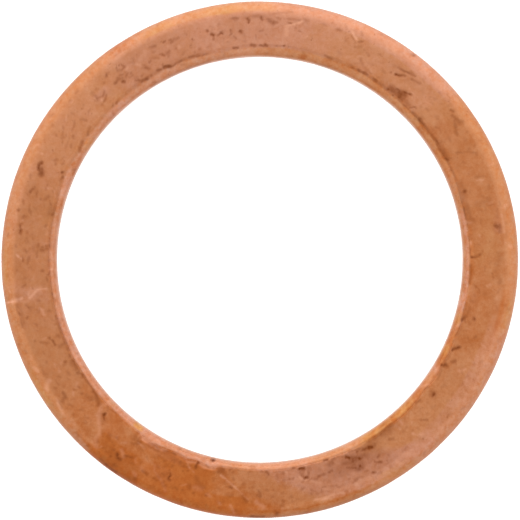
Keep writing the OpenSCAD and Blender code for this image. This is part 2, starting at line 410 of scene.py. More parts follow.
    (0.35, 0.12, 224.7, 15.8, 224, 15.68), (0.2, 0.4, 226, 16.5, 224.5, 16.2),
    (0.65, 0.24, 235, 17.85, 234.2, 17.85, 233.7, 17.65),
    (0.6, 0.2, 237.2, 17.3, 236.2, 17.35, 235.5, 17.45), (0.35, 0.2, 232.5, 17.55),
    (0.45, 0.2, 228.4, 17.9), (0.3, 0.17, 231, 17.2, 229.2, 17.12), (0.35, 0.2, 236, 16.35, 235, 16.38),
    (0.22, 0.16, 238.5, 16.4, 236, 16.35), (0.28, 0.25, 235, 16.1, 234.9, 15.65), (0.3, 0.12, 232, 17.3),
    (0.4, 0.3, 240.4, 18.5), (0.35, 0.25, 234.6, 18.45), (0.5, 0.14, 236, 18.83, 233, 18.8),
    (0.45, 0.2, 217, 16.3), (0.32, 0.3, 219.6, 16, 218.8, 16.12), (0.35, 0.12, 223.6, 17.13),
    (0.38, 0.24, 215.7, 17.8, 215.2, 17.6), (0.42, 0.2, 215.5, 17.45, 214, 17.38),
    (0.25, 0.1, 211.8, 17.35, 210.2, 17.42),
    # The strokes from 212 to 222 degrees near 15.6 to 15.9 mm paint the shadow in the crease beside the
    # lip
    (0.5, 0.26, 222, 15.9, 221, 15.82, 220, 15.74, 218.4, 15.68), (0.3, 0.15, 218.5, 15.6, 213.5, 15.55),
    (0.5, 0.22, 213.4, 15.68, 212.8, 15.6), (0.45, 0.15, 212.5, 15.68, 211.7, 15.85),
    (0.25, 0.1, 227, 15.55, 225, 15.7), (0.28, 0.3, 242, 15.8, 239, 15.75),
    (0.25, 0.12, 217, 18.15, 214.5, 18),
    (0.85, 0.16, 247.9, 17.42, 247.3, 17.4, 247.5, 17.15, 247.2, 16.95),
    (0.5, 0.13, 247, 16.9, 246.6, 16.78), (0.6, 0.18, 263.1, 16.9, 262.5, 16.8),
    (0.5, 0.22, 265.8, 16.5), (0.3, 0.1, 267.3, 16.75),
    (0.45, 0.22, 266.9, 17.75, 266.2, 17.55, 265.8, 17.4), (0.3, 0.16, 268.1, 17.75),
    (0.35, 0.14, 269.8, 17.05, 269.5, 16.85), (0.35, 0.16, 271.7, 16.9), (0.55, 0.16, 254.2, 17.78),
    (0.33, 0.4, 256, 17.2, 254.5, 16.9, 253.8, 16.7), (0.35, 0.28, 252.9, 17.55, 252.6, 17.35),
    (0.45, 0.16, 251.3, 17.8), (0.45, 0.2, 245, 17.85, 244.2, 17.8),
    (0.4, 0.24, 242.3, 17.75, 241, 17.7), (0.3, 0.2, 247, 18.6, 246.3, 18.55),
    (0.35, 0.2, 246.2, 17.3, 245.5, 17.25), (0.5, 0.1, 249.9, 16.5),
    (0.45, 0.14, 250.8, 16.1, 249.9, 16.15, 249, 16.2), (0.4, 0.14, 244.6, 16.32),
    (0.45, 0.1, 242.8, 16.15), (0.4, 0.12, 260.7, 18.4), (0.3, 0.12, 260.2, 18.2),
    (0.35, 0.16, 257.6, 18.4), (0.5, 0.09, 257.4, 17.75, 257, 17.72),
    (0.6, 0.2, 252.9, 16, 253, 15.75, 253.1, 15.6), (0.4, 0.36, 260.2, 15.8, 259, 15.78),
    (0.3, 0.12, 264.2, 15.6), (0.4, 0.14, 271.5, 15.65, 270.5, 15.6),
    (0.28, 0.25, 246.5, 15.65, 243.5, 15.75), (1, 0.26, 256.95, 15.02),
    (0.5, 0.12, 271, 18.84, 267.5, 18.84),
    # Bottom: a small hook and a smoky patch drawn out along the ring
    (0.7, 0.2, 282.3, 16.35, 281.7, 16.35), (0.5, 0.1, 281.5, 16.3, 280.8, 16, 280.6, 15.9),
    (0.75, 0.24, 281.8, 15.75, 280.8, 15.72), (0.3, 0.1, 282.8, 16.1, 282.9, 15.8),
    (0.3, 0.12, 284, 15.6), (0.6, 0.18, 288.6, 15.57, 287.8, 15.56),
    (0.4, 0.2, 290.6, 15.7, 289.8, 15.75), (0.62, 0.24, 297.2, 16.33, 296.6, 16.26),
    (0.6, 0.26, 296, 16.14, 294.9, 16.04), (0.45, 0.16, 292.9, 15.8, 292.2, 15.7, 291.5, 15.62),
    (0.9, 0.24, 294.4, 15.98, 293.5, 15.88), (0.5, 0.24, 296, 16.78),
    (0.6, 0.1, 294.8, 16.8, 293.7, 16.65, 292.7, 16.52), (0.34, 0.34, 296.2, 17.02, 295, 17.02),
    (0.9, 0.24, 300.9, 16.03, 300.2, 15.96),
    (0.55, 0.15, 300.3, 15.95, 299, 15.95, 297.8, 15.92, 296.8, 15.85),
    (0.4, 0.15, 298.6, 15.85, 296.5, 15.68, 295, 15.6), (0.24, 0.7, 298, 16.15, 293, 16.1),
    (0.2, 0.4, 297, 16.75, 293.5, 16.6), (0.55, 0.15, 298.6, 17.78, 297.9, 17.65),
    (0.6, 0.15, 301, 17.3, 300.2, 17.18, 299.7, 17.05), (0.35, 0.09, 297.2, 17.4, 296.3, 17.3),
    (0.3, 0.16, 292.2, 17.38), (0.33, 0.1, 289, 17.5, 287, 17.35, 285.3, 17.3),
    (0.35, 0.09, 285.4, 17.6), (0.3, 0.07, 286.8, 17.7, 286, 17.65),
    (0.35, 0.13, 288.9, 16.35, 288, 16.4), (0.38, 0.17, 286.4, 16.4, 285, 16.45),
    (0.3, 0.14, 288.6, 15.95, 287.8, 15.9), (0.45, 0.13, 278.6, 16.22, 277.5, 16.25),
    (0.3, 0.1, 277.4, 16.52), (0.4, 0.12, 279.8, 15.57, 279, 15.55),
    (0.5, 0.15, 272.3, 15.8, 271.8, 15.65, 271.5, 15.6), (0.3, 0.1, 269.2, 15.82),
    (0.35, 0.2, 271.8, 16.9), (0.3, 0.16, 273.4, 16.9), (0.3, 0.2, 273.1, 17.4),
    (0.3, 0.14, 270.1, 17.25, 269.9, 17), (0.6, 0.28, 273.8, 18.65),
    (0.35, 0.15, 283.2, 17.45, 282.5, 17.25),
    # Lower right
    (1, 0.2, 322.5, 16.12, 321.9, 16.15), (0.5, 0.42, 322.4, 16.1, 321.9, 16.12),
    (0.75, 0.28, 330.4, 15.76, 329.9, 15.72), (0.65, 0.15, 330, 15.7, 330, 15.5),
    (0.5, 0.09, 316.4, 17, 315.8, 16.85, 315.2, 16.62), (0.4, 0.16, 312.3, 17.77),
    (0.3, 0.16, 311.8, 16.75), (0.4, 0.18, 306.6, 16.38, 305.8, 16.22),
    (0.45, 0.17, 318.8, 15.72, 317.5, 15.62), (0.3, 0.12, 319.5, 16.15),
    # The strokes from 305 to 308 degrees near 15.6 mm paint the shadow under the lip's edge
    (0.3, 0.45, 308, 15.6, 306.8, 15.72, 305, 15.66), (0.4, 0.2, 306.3, 15.6),
    (0.2, 0.3, 304.5, 15.6, 301, 15.62), (0.35, 0.15, 323, 15.55, 322, 15.5), (0.35, 0.1, 330.5, 17.97),
    (0.4, 0.09, 320.6, 17.9, 320, 17.95), (0.45, 0.09, 313.6, 18.7),
    (0.3, 0.09, 319.8, 16.85, 320.2, 16.75), (0.25, 0.1, 317.6, 16.65), (0.4, 0.08, 302.3, 17.42),
    (0.25, 0.14, 303.4, 17.15), (0.9, 0.17, 336.5, 16.02, 335.8, 15.88, 335, 15.7, 334.7, 15.68),
    (0.5, 0.24, 332.4, 16.15, 331.9, 16.02), (1, 0.28, 344.5, 16.32),
    (0.45, 0.1, 344.8, 15.8, 343.8, 15.72, 342.9, 15.82), (0.55, 0.17, 344.2, 15.65, 343.2, 15.52),
    (0.25, 0.13, 347.2, 15.9, 345.3, 15.85), (0.35, 0.1, 346.4, 15.68),
    (0.35, 0.14, 341, 15.6, 339.4, 15.58), (0.25, 0.1, 341, 16, 340.4, 15.7),
    (0.4, 0.18, 340.4, 16.8, 339.8, 16.7), (0.3, 0.07, 343.6, 16.52),
    (0.4, 0.26, 358.3, 15.6, 356.8, 15.62, 355.5, 15.64, 353.7, 15.6),
    (0.4, 0.09, 357.2, 15.75, 356.5, 15.68), (0.35, 0.09, 353.6, 15.9, 352.6, 16.05),
    (0.25, 0.08, 352.5, 16.2, 351.5, 16.28), (0.3, 0.14, 357.2, 17.25),
    (0.4, 0.07, 356.6, 17.08, 355.6, 17.15), (0.25, 0.09, 351.2, 17.25),
    (0.3, 0.09, 358.2, 16.5, 357, 16.52), (0.2, 0.5, 361, 17.6, 359, 17.4), (0.3, 0.2, 349.4, 18.3),
    (0.3, 0.1, 350.5, 17.8), (0.25, 0.2, 335.2, 17.85), (0.3, 0.09, 343, 17.52),
    (0.25, 0.24, 339, 15.58, 348, 15.58), (0.22, 0.2, 334, 15.6, 326, 15.68),
)

# Pale places where the metal was rubbed or scratched bare
BRIGHT = (
    # Right hand side
    (0.5, 0.28, 3, 18.37), (0.5, 0.08, 12.2, 18.4, 11.9, 18), (0.4, 0.1, 12.6, 18.6, 12.5, 18.4),
    (0.5, 0.09, 4.9, 15.64, 4.2, 15.64), (0.35, 0.12, 10.3, 15.55, 9.9, 15.85),
    (0.25, 0.1, 13.9, 17.5, 13.8, 17.3), (0.3, 0.08, 22.5, 18.5, 22.3, 18.1),
    (0.3, 0.1, 6.3, 16.2, 5.9, 16.2), (0.35, 0.14, 10.5, 18.02, 6.5, 18.02),
    (0.4, 0.1, 4.1, 18.1, 3.8, 17.98), (0.4, 0.08, 25.8, 15.42, 25.4, 15.3),
    (0.55, 0.1, 19.7, 17.4, 20.1, 16.9), (0.35, 0.1, 48.8, 16.65, 46.5, 16.55),
    (0.25, 0.09, 43.5, 16.75, 42.2, 17), (0.35, 0.1, 57.4, 18.2, 56.6, 18.4), (0.3, 0.15, 48.9, 18.55),
    # Top
    (0.85, 0.11, 68, 18.1, 67.3, 17.85, 66.2, 17.62), (0.5, 0.28, 83.3, 16.65, 83.4, 16.9, 83.5, 17.2),
    (0.75, 0.13, 83.9, 17.2, 82.5, 17.38, 81, 17.55, 79.9, 17.75), (0.4, 0.16, 80.8, 17.68, 79.8, 17.8),
    (0.6, 0.12, 78, 16.75), (0.4, 0.12, 78.4, 16.6), (0.25, 0.09, 77.8, 17.55),
    (0.4, 0.1, 76.6, 15.7, 75.8, 15.8), (0.3, 0.1, 82.4, 15.8), (0.25, 0.12, 66.8, 16.1, 65.5, 16.4),
    (0.3, 0.09, 64.3, 16.55, 63.2, 16.7), (0.3, 0.09, 78.9, 16.83),
    (0.7, 0.2, 122.1, 16.93, 121.7, 16.78), (0.55, 0.24, 110.8, 16.68),
    (0.25, 0.25, 121.5, 17, 120, 17.3, 118.9, 17.4), (0.4, 0.14, 109.8, 18.43),
    (0.3, 0.09, 113.5, 17.1, 112.3, 16.4, 112.6, 16.2), (0.35, 0.12, 98.9, 16.25, 98.3, 16.3),
    (0.3, 0.09, 106.8, 16.15), (0.4, 0.06, 100.8, 15.98, 100.5, 15.85),
    (0.65, 0.1, 144.2, 17.53, 143.5, 17.67), (0.55, 0.2, 134.8, 16.5),
    (0.4, 0.12, 132.5, 16.78, 131.9, 16.9), (0.4, 0.12, 125.1, 17, 124.4, 17.15),
    (0.4, 0.09, 140.3, 18, 139.5, 18.02), (0.35, 0.1, 130.5, 18.4),
    (0.35, 0.14, 119.5, 17.1, 118.8, 17.45), (0.3, 0.09, 136.2, 15.9),
    # Left hand side
    (0.85, 0.1, 179.7, 17.5, 179.3, 17.7, 178.8, 17.85), (0.5, 0.07, 154.2, 18, 154, 17.75),
    (0.5, 0.12, 152.8, 18.4, 152.5, 18.25), (0.3, 0.09, 158.7, 17.9, 158.2, 17.7),
    (0.5, 0.09, 167.2, 18.3, 166.9, 18.15), (0.4, 0.07, 170.1, 18.12, 169.3, 18.15),
    (0.4, 0.06, 161.6, 16.7, 161, 16.1), (0.3, 0.1, 170, 16.95, 169, 16.6, 168.8, 16.3),
    (0.4, 0.07, 163, 15.7, 161.5, 15.9), (0.3, 0.16, 175.9, 15.85, 175.6, 15.6),
    (0.3, 0.09, 173.3, 15.85, 172.8, 15.7), (0.4, 0.12, 181, 15.2),
    (0.5, 0.1, 170.9, 17.75, 170.6, 17.6), (0.25, 0.1, 149.5, 17.8, 149, 17.6),
    (1, 0.15, 189.7, 18.75, 189.6, 18.4, 189.4, 17.9, 189.1, 17.65), (0.5, 0.3, 189.6, 18.4, 189.5, 18),
    (0.35, 0.35, 187.6, 17, 187.5, 16.2),
    (0.95, 0.16, 189.4, 17.12, 188.6, 16.78, 187.7, 16.5, 187.6, 16.2, 187.7, 15.9),
    (0.6, 0.12, 188.8, 17.15, 187.6, 17.05, 187.1, 16.9), (0.3, 0.1, 190.1, 18, 190.1, 17.3),
    (0.4, 0.1, 188.2, 16.2), (0.5, 0.26, 211, 18.3, 210.2, 18, 209.8, 17.75),
    (0.4, 0.16, 206.8, 18.2, 205.4, 18.35), (0.55, 0.18, 194.3, 16.3, 193, 16.35, 192.5, 16.5),
    (0.4, 0.09, 207.8, 17, 206.9, 16.88), (0.4, 0.07, 209.4, 16.85, 208, 16.7),
    (0.35, 0.12, 207.6, 16.5, 206.8, 16.2), (0.3, 0.09, 199.2, 17.6, 198.8, 17.45),
    (0.35, 0.08, 200.2, 17, 200, 16.7), (0.4, 0.08, 206.1, 15.95), (0.5, 0.1, 182.8, 15.55, 182.6, 15.3),
    (0.3, 0.1, 185, 16.68, 184.3, 16.62), (0.3, 0.1, 187.3, 18.5, 186.5, 18.6),
    (0.3, 0.1, 203.6, 18.3, 202.8, 18.2),
    # Lower left
    (0.6, 0.24, 257.8, 15.62, 255.4, 15.66, 253.6, 15.62), (0.5, 0.2, 252.6, 15.66, 250.4, 15.7),
    (0.5, 0.18, 249.4, 15.52, 247.4, 15.56, 246, 15.52),
    (0.6, 0.2, 243.6, 15.6, 241.4, 15.7, 240.6, 15.6), (0.6, 0.26, 239.8, 15.62, 237, 15.64),
    (0.3, 0.14, 236, 15.5, 232, 15.5, 229.5, 15.5), (0.35, 0.16, 262.8, 15.55, 260.6, 15.6),
    (0.3, 0.26, 229, 18.2, 227.4, 17.8, 227.4, 17.37, 225.9, 16.93, 225, 16.7, 223.5, 16.2,
     222.6, 15.85, 223.5, 15.5),
    (0.35, 0.1, 227.6, 17.8, 227.4, 17.4, 226.2, 17.05), (0.4, 0.12, 223.5, 16.2, 222.8, 15.95),
    (0.6, 0.12, 229.7, 18), (0.3, 0.2, 229, 18.24, 227.5, 18.12), (0.35, 0.24, 240, 18.25, 239.4, 18.15),
    (0.25, 0.24, 241, 17.75, 240.3, 17.6), (0.35, 0.22, 235.3, 17.55, 234.5, 17.35, 234, 17.2),
    (0.35, 0.1, 238.6, 17.4, 238, 17.15), (0.3, 0.07, 231.3, 16.75, 230.9, 16.6),
    (0.25, 0.1, 234, 16.6, 233, 16.8), (0.5, 0.12, 216.1, 16.95, 215.4, 16.8),
    (0.35, 0.12, 223.7, 16.55), (0.4, 0.07, 221, 16.58), (0.5, 0.16, 218, 18.3, 216, 18.2, 214.5, 18.05),
    (0.35, 0.1, 238.5, 16.2, 236.5, 16.1), (0.4, 0.1, 217.8, 15.35),
    (0.25, 0.2, 214.7, 16.35, 214, 16.15), (0.4, 0.09, 209.3, 16.8, 208.8, 16.75),
    (0.65, 0.1, 265, 17.05, 263.2, 16.65, 262.1, 16.4, 259.7, 16.08),
    (0.35, 0.09, 267.2, 17.6, 265.3, 17.12), (0.45, 0.16, 262.3, 16.45, 261.5, 16.35),
    (0.6, 0.1, 252.8, 16.3, 251, 16.05, 250.2, 15.75, 249.7, 15.5), (0.55, 0.1, 260.9, 18.15, 260.2, 18),
    (0.3, 0.2, 258.2, 17.75, 257.3, 17.6), (0.2, 0.4, 255.6, 17.35, 254, 17.35),
    (0.5, 0.16, 266.9, 15.45), (0.5, 0.14, 264.2, 18.7, 263.8, 18.4, 263.1, 18.15),
    (0.45, 0.3, 270.8, 18.15, 269.8, 17.92, 269.2, 17.75),
    (0.22, 0.16, 247.8, 18.35, 247, 18, 246, 17.75, 244, 17.4), (0.25, 0.09, 243.7, 17.4, 243, 17),
    (0.3, 0.09, 251.8, 17.35, 250.8, 17.55),
    # Bottom and lower right
    (0.8, 0.14, 282.3, 16.42, 281.5, 16.53, 280.9, 16.45, 280.4, 16.2),
    (0.35, 0.12, 282.2, 16.2, 282.4, 15.8, 282.5, 15.55),
    (0.6, 0.16, 287.5, 18.05, 285, 18.15, 283, 18.05),
    (0.45, 0.16, 285.2, 16.95, 284.2, 16.85, 283, 16.65), (0.5, 0.1, 287, 17.65, 285.5, 17.42),
    (0.4, 0.09, 290, 17.45, 288.2, 17.25), (0.4, 0.1, 273.2, 15.65, 272.6, 15.75),
    (0.5, 0.07, 277.4, 15.85, 276.8, 15.68), (0.3, 0.1, 275.2, 18.3, 274.9, 18.5),
    (0.35, 0.14, 297.3, 18, 296, 17.95), (0.4, 0.06, 278.3, 16.85, 278.2, 16.65),
    (0.3, 0.09, 274.6, 17.25), (0.35, 0.09, 289.3, 17.8, 288.7, 17.7),
    (0.3, 0.09, 287, 16.05, 285.8, 15.85), (0.4, 0.07, 300.5, 18.45, 299.2, 18.2),
    (0.3, 0.12, 329.2, 18.4, 328.8, 18.2), (0.5, 0.16, 311, 15.95, 310.8, 15.55),
    (0.4, 0.09, 309.7, 16.1, 309.3, 15.8), (0.45, 0.16, 305, 18.25, 304, 17.98),
    (0.25, 0.3, 307.5, 18.1, 306, 17.6), (0.4, 0.12, 313.2, 17.5, 312, 17.3, 311.3, 16.95),
    (0.35, 0.14, 313, 16.35), (0.45, 0.12, 318.5, 15.4), (0.45, 0.14, 323.8, 15.5, 322.3, 15.15),
    (0.35, 0.1, 327.1, 16.15), (0.3, 0.12, 307.7, 17.9), (0.2, 0.36, 319.7, 18.25),
    (0.5, 0.2, 331.9, 17.05, 331.2, 16.85, 330.9, 16.7), (0.45, 0.1, 338.7, 17.8, 339.2, 17.35),
    (0.35, 0.14, 353.8, 17, 353.4, 16.8), (0.4, 0.16, 343, 15.55, 341.3, 15.3),
    (0.35, 0.09, 350.8, 17.6, 350.4, 17.5), (0.3, 0.1, 359, 18.1), (0.25, 0.09, 350, 17.1),
    (0.25, 0.09, 341.8, 16.4, 341.6, 16),
)

# Faint specks drawn at random: first and last angle, inner and outer radius, how many, strength
SPECKS = (
    (106, 136, 15.9, 17.7, 40, 0.3), (92, 106, 15.9, 17.8, 14, 0.25), (140, 190, 15.7, 17.9, 60, 0.25),
    (190, 228, 15.7, 17.9, 50, 0.25), (0, 66, 15.6, 18, 60, 0.22), (228, 266, 15.7, 18.8, 80, 0.3),
    (266, 304, 15.7, 18, 60, 0.3), (304, 360, 15.7, 18, 50, 0.22), (0, 360, 18, 18.8, 60, 0.2),
    (0, 360, 15.05, 15.5, 60, 0.2),
)
# The underside's pits and dark specks, drawn in the same way
UNDER_PITS = ((0, 360, 15.4, 18.8, 90, 0.7),)
UNDER_SPECKS = ((0, 360, 15.4, 18.8, 200, 0.5),)

# Broad films: first and last angle, inner and outer radius, lean in degrees for each millimetre
# outwards, soft edge in degrees, strength. Where films of a kind overlap, they add up.
# First the orange-brown ones
TARNISH = (
    # On the lip and the seam
    (18, 60, 14.9, 15.5, 0, 5, 0.12), (24, 33, 14.9, 15.5, 0, 3, 0.4), (36, 41, 14.9, 15.5, 0, 2, 0.4),
    (53, 60, 14.9, 15.5, 0, 3, 0.3), (62, 86, 15, 15.6, 0, 6, 0.12), (64, 74, 15, 15.55, 0, 4, 0.3),
    (77, 79, 15, 15.4, 0, 1, 0.5), (136, 142, 15.3, 15.7, 0, 2, 0.35),
    (150, 156, 14.9, 15.5, 0, 2, 0.38), (164, 166, 14.9, 15.4, 0, 1, 0.4),
    (221, 223, 14.9, 15.4, 0, 1, 0.4), (241, 247, 15.2, 15.6, 1, 2, 0.35),
    (249, 252, 14.9, 15.25, 0, 2, 0.25), (301, 318, 14.9, 15.6, 0, 4, 0.48),
    (318, 321, 14.9, 15.5, 0, 1, 0.5), (320, 345, 14.9, 15.5, 0, 3, 0.42),
    (329, 336, 15, 15.5, 0, 2, 0.2), (336, 339.5, 14.9, 15.45, 0, 1, 0.3),
    (350, 354, 14.9, 15.4, 0, 1.5, 0.4), (353, 359, 15.5, 15.8, 0, 3, 0.25),
    # On the band
    (-2, 39, 15.5, 18, 0, 6, 0.4), (26, 66, 15.4, 16, 0, 6, 0.15), (46, 66, 15.5, 16.4, 0, 4, 0.25),
    (47, 57, 16.8, 17.7, 0, 4, 0.15), (188, 214, 15.5, 18, 0, 8, 0.15), (214, 229, 15.5, 18, 0, 8, 0.52),
    (227.5, 258, 15.5, 19.2, 0.8, 4, 0.5), (230, 256, 17, 19.2, 1, 6, 0.35),
    (231, 241, 16.1, 17, 0, 3, 0.1), (246, 258, 15.5, 17.2, 2, 6, 0.14),
    (246, 267, 15.5, 19.2, 4, 9, 0.45), (255, 266, 17.5, 19.2, 1, 4, 0.35),
    (262, 282, 15.5, 18.6, 3, 10, 0.4), (263, 273, 17.5, 18.2, 1, 3, 0.2),
    (286, 298, 17.6, 18.6, 0, 4, 0.3), (300, 336, 15.45, 16.1, 0, 6, 0.25),
    (318, 342, 15.5, 18.2, 0, 8, 0.15), (336, 358, 15.5, 18.2, -1, 8, 0.4),
    (344, 352, 15.5, 16.3, 0, 4, 0.12),
    # On the outside rounding
    (119, 128, 18.2, 19.2, 0, 4, 0.5), (192, 206, 18.4, 19.1, 0, 4, 0.3),
    (207, 225, 18, 18.6, 0, 3, 0.25), (224, 233, 18, 18.6, 0, 3, 0.35),
    (226, 246, 18.45, 19.2, 0, 5, 0.6), (246, 262, 18.3, 19.2, 2, 5, 0.15),
    (262, 282, 18.4, 19.2, 3, 6, 0.25), (279, 289, 18.45, 19.2, 0, 3, 0.25),
    (282, 302, 18.3, 19.2, 3, 6, 0.14), (303, 311, 18, 18.6, 0, 3, 0.3),
    (343, 352, 17.9, 18.6, 0, 3, 0.35), (352, 366, 18.1, 18.5, 0, 5, 0.15),
)
# Pinker, paler ones. From about 40 to 128 degrees, over the top of the band and the rounding, they are
# also
# painted highlight: the side that faces the window is paler and whiter there
ROSY_AND_HIGHLIGHT = (
    # On the lip and the seam
    (-14, 14, 15.1, 15.5, 0, 2, 0.75), (92, 200, 14.9, 15.5, 0, 8, 0.6),
    (130, 136, 14.9, 15.4, 0, 2, 0.6), (157, 160, 14.9, 15.4, 0, 2, 0.6),
    (196, 238, 14.9, 15.5, 0, 5, 0.7), (205, 207.5, 14.9, 15.4, 0, 1, 0.8),
    (227, 231, 14.9, 15.4, 0, 2, 0.6), (235.5, 241, 14.9, 15.8, 0, 2, 1),
    (238, 262, 14.9, 15.6, 0, 5, 0.6), (247, 258, 15.2, 15.75, 0, 3, 0.6),
    (262, 300, 14.9, 15.5, 0, 5, 0.6), (327, 330, 14.9, 15.5, 0, 2, 0.8),
    (339.8, 341.6, 15.1, 15.5, 0, 1, 0.6), (346, 349, 14.9, 15.4, 0, 1.5, 0.8),
    # On the band
    # The rows from 42 to 128 degrees paint the highlight over the top of the band and the rounding
    (6, 10, 17.3, 17.9, 0, 2, 0.5), (42, 74, 15.5, 18, 0, 5, 0.4), (74, 128, 15.5, 19.2, 0, 6, 0.6),
    (79, 106, 15.5, 18.2, -1, 3, 0.35), (128, 200, 15.5, 18.2, 0, 10, 0.2),
    (131, 136, 16.4, 17.1, 0, 2, 0.4), (186.5, 190.5, 15.7, 18.6, -1, 1.5, 0.25),
    (278, 305, 15.5, 18.4, 6, 5, 0.78), (293, 298, 16.7, 17.2, 0, 2, 0.6),
    (305, 345, 17.3, 19.2, 3, 8, 0.48),
    # On the outside rounding
    # The row from 40 to 80 degrees paints the highlight on the top of the rounding
    (40, 80, 17.9, 19.2, 0, 6, 0.85), (160, 176, 18.1, 19, 0, 5, 0.3), (218, 225, 18, 18.7, 0, 3, 0.25),
    (222, 234, 18.6, 19.2, 0, 3, 0.4), (262, 265, 18.2, 18.8, 0, 1, 0.5),
    (330, 350, 18.6, 19.2, 0, 4, 0.2),
)
# Thin straw-coloured ones
GOLDEN = (
    # On the lip and the seam
    (18, 60, 14.9, 15.5, 0, 5, 0.2), (24, 32, 14.9, 15.5, 0, 2, 0.3), (60, 92, 15, 15.6, 0, 8, 0.2),
    (108, 113, 15, 15.5, 0, 2, 0.2), (144, 148, 14.9, 15.5, 0, 2, 0.4),
    (222, 226, 14.9, 15.4, 0, 1, 0.4), (232.5, 235.5, 14.9, 15.4, 0, 1, 0.7),
    (262, 282, 14.9, 15.5, 0, 4, 0.1), (283, 301, 14.9, 15.6, 0, 4, 0.3),
    (300, 317, 14.9, 15.6, 0, 3, 0.6), (311, 320, 14.9, 15.4, 0, 2, 0.35),
    (321, 346, 14.9, 15.5, 0, 4, 0.1), (332.3, 335.5, 14.9, 15.4, 0, 1, 0.6),
    (341.8, 345, 14.9, 15.4, 0, 1, 0.45),
    # On the band
    (350, 378, 15.6, 17.6, 0, 9, 0.12),
    # On the outside rounding
    (0, 40, 18.2, 19, 0, 8, 0.1), (85, 118, 18.2, 19, 0, 6, 0.5), (176, 186, 18.5, 19.1, 0, 3, 0.35),
    (204, 216, 18.5, 19, 0, 4, 0.3), (253, 257, 18, 18.6, 0, 1, 0.3), (300, 308, 18, 18.8, 2, 3, 0.4),
    (344, 352, 18.4, 19, 0, 3, 0.25),
)
# Paler, cleaner ones
PALE = (
    # On the lip and the seam
    (18, 60, 14.9, 15.5, 0, 5, 0.07), (24, 32, 14.9, 15.5, 0, 2, 0.07),
    (60, 130, 14.9, 15.5, 0, 8, 0.12), (87, 97, 14.9, 15.5, 0, 3, 0.09),
    (176, 193, 14.9, 15.5, 0, 3, 0.07), (236, 241, 15.3, 15.75, 0, 2, 0.14),
    (251, 258, 15.4, 15.78, 0, 3, 0.14), (262, 284, 14.9, 15.5, 0, 4, 0.2),
    (284, 302, 14.9, 15.5, 0, 4, 0.06), (311, 320, 14.9, 15.4, 0, 2, 0.06),
    (320, 330, 14.9, 15.5, 0, 3, 0.12), (335, 345, 14.9, 15.4, 0, 3, 0.08),
    # On the band
    (8, 16, 17.5, 18.2, 0, 3, 0.06), (31, 41, 15.6, 17, 0, 3, 0.1), (42, 74, 15.9, 18, 0, 6, 0.08),
    (106, 160, 16, 18.2, 0, 8, 0.07), (111, 129, 17.5, 18.2, 0, 3, 0.09),
    (135, 146, 16.8, 18.2, 0, 4, 0.08), (160, 169, 17.5, 18.2, 0, 3, 0.07),
    (224, 232, 15.6, 17, 0, 3, 0.08), (239, 249, 15.55, 16.2, 0, 3, 0.12),
    (240, 248, 16.8, 17.7, 0, 3, 0.07), (264, 273, 15.6, 16.3, 0, 3, 0.07),
    (335, 345, 17.4, 18.2, 0, 4, 0.28), (344, 353, 17.5, 18.2, 0, 3, 0.08),
    # On the outside rounding
    (54, 76, 18, 19, 0, 5, 0.11), (63, 73, 18, 18.6, 0, 3, 0.08), (79, 96, 18, 18.5, 0, 3, 0.09),
    (80, 112, 18.2, 19.2, 0, 8, 0.12), (112, 148, 18.2, 19.2, 0, 6, 0.06),
    (128, 137, 18, 18.6, 0, 3, 0.08), (142, 162, 18.4, 19.2, 0, 5, 0.11),
    (295, 304, 18.4, 19.2, 0, 3, 0.1), (309, 323, 18.1, 19.2, 3, 5, 0.08),
    (352, 361, 18.4, 19.2, 0, 3, 0.12),
)
# Thin smoky ones, and painted shade along the seam, over the band's left side and at the rounding's lower
# edge
SMOKY_AND_SHADE = (
    # On the lip and the seam
    # The two rows all round the seam paint the shade of its crease, with the dirt caught in it
    (66, 165, 15.5, 15.75, 0, 10, 0.14), (165, 345, 15.36, 15.7, 0, 10, 0.16),
    (167, 177, 14.9, 15.5, 0, 3, 0.06), (240, 257, 14.9, 15.5, 0, 3, 0.04),
    # On the band
    (9, 21, 15.45, 15.95, 0, 6, 0.15), (15, 25, 16.1, 17, 0, 3, 0.05), (24, 31, 15.6, 16.2, 0, 2, 0.06),
    # The row from 26 to 46 degrees beside the seam also paints the shade of the step there, with the dirt
    (26, 46, 15.5, 15.9, 0, 5, 0.1), (47, 57, 15.6, 16.2, 0, 3, 0.08), (47, 57, 16.8, 17.7, 0, 3, 0.06),
    (87, 97, 17.6, 18.15, 0, 2, 0.12), (87, 104, 16.1, 17, 0, 4, 0.08), (106, 128, 15.5, 18, 0, 8, 0.14),
    # The row from 158 to 216 degrees darkens that side of the band evenly: painted shade, where the light
    # falls off
    (127, 137, 16.1, 17, 0, 3, 0.08), (158, 216, 15.5, 18, 0, 10, 0.14),
    (165, 168.5, 15.5, 16, 0, 1.5, 0.2), (176, 178, 15.7, 16.7, 0, 1, 0.08),
    (188, 196, 17.8, 18.15, 0, 2, 0.2), (204, 216, 15.5, 16, 0, 3, 0.07),
    (224, 233, 17.5, 18.2, 0, 3, 0.08), (231, 241, 17.5, 19.2, 0, 4, 0.18),
    # The row from 238 to 263 degrees beside the seam paints the shade of the step, with dirt
    (238, 263, 15.5, 16, 0, 4, 0.18), (266, 284, 15.5, 18, 2, 5, 0.14),
    (284, 305, 15.7, 17.7, 3, 6, 0.22), (287, 302, 16.1, 17, 0, 4, 0.16),
    (300, 312, 15.5, 16.1, 0, 4, 0.18), (327, 337, 15.6, 16.9, 0, 3, 0.06),
    (343, 353, 15.6, 16.3, 0, 4, 0.08),
    # On the outside rounding
    # The row from 265 to 300 degrees at the outermost edge paints the darker reflection of the shade
    # beside the ring
    (222, 234, 18.4, 19.2, 0, 3, 0.1), (265, 300, 18.75, 19.1, 0, 6, 0.2),
    (303, 311, 18, 18.6, 0, 3, 0.05),
)

# Where the grain of the sheet is calmer, in the same way
CALM = ((-20, 48, 15.5, 19.2, 0, 12, 0.3), (48, 222, 15.5, 19.2, 0, 12, 0.22))

